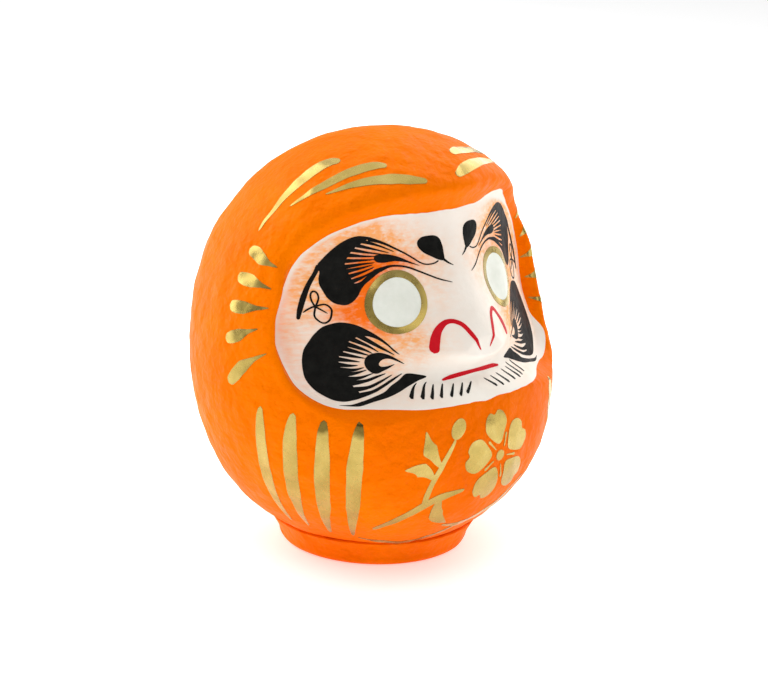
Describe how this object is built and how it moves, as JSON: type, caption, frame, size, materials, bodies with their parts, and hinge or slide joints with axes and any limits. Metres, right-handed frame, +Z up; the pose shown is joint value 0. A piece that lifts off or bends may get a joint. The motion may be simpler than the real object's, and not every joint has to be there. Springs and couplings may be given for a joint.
{
  "type": "daruma doll",
  "caption": "Rounded hollow papier-mache tumbler doll with a sunken painted face, gold brush strokes and a small weighted foot.",
  "frame": {"origin": "centre of the foot's underside, on the surface that the doll stands on", "axes": "+Z up, -Y the way that the doll looks, +X the doll's left side"},
  "size_m": [0.1362, 0.1168, 0.1472],
  "materials": {
    "orange_paint": "satin orange paint on papier-mache",
    "face_paint": "matte cream paint, dry-brushed with orange",
    "gold_paint": "brushed gold paint",
    "black_ink": "satin black brush ink",
    "red_paint": "satin red paint",
    "eye_white": "matte white paint",
    "paper": "plain unpainted paper",
    "clay": "dry unfired clay"
  },
  "bodies": {
    "root": {"front_shell": "orange_paint", "back_shell": "orange_paint", "seam_strip_left": "paper", "seam_strip_crown": "paper", "seam_strip_right": "paper", "foot_ring": "orange_paint", "weight_disc": "clay", "bottom_cover": "paper"}
  },
  "joints": []
}
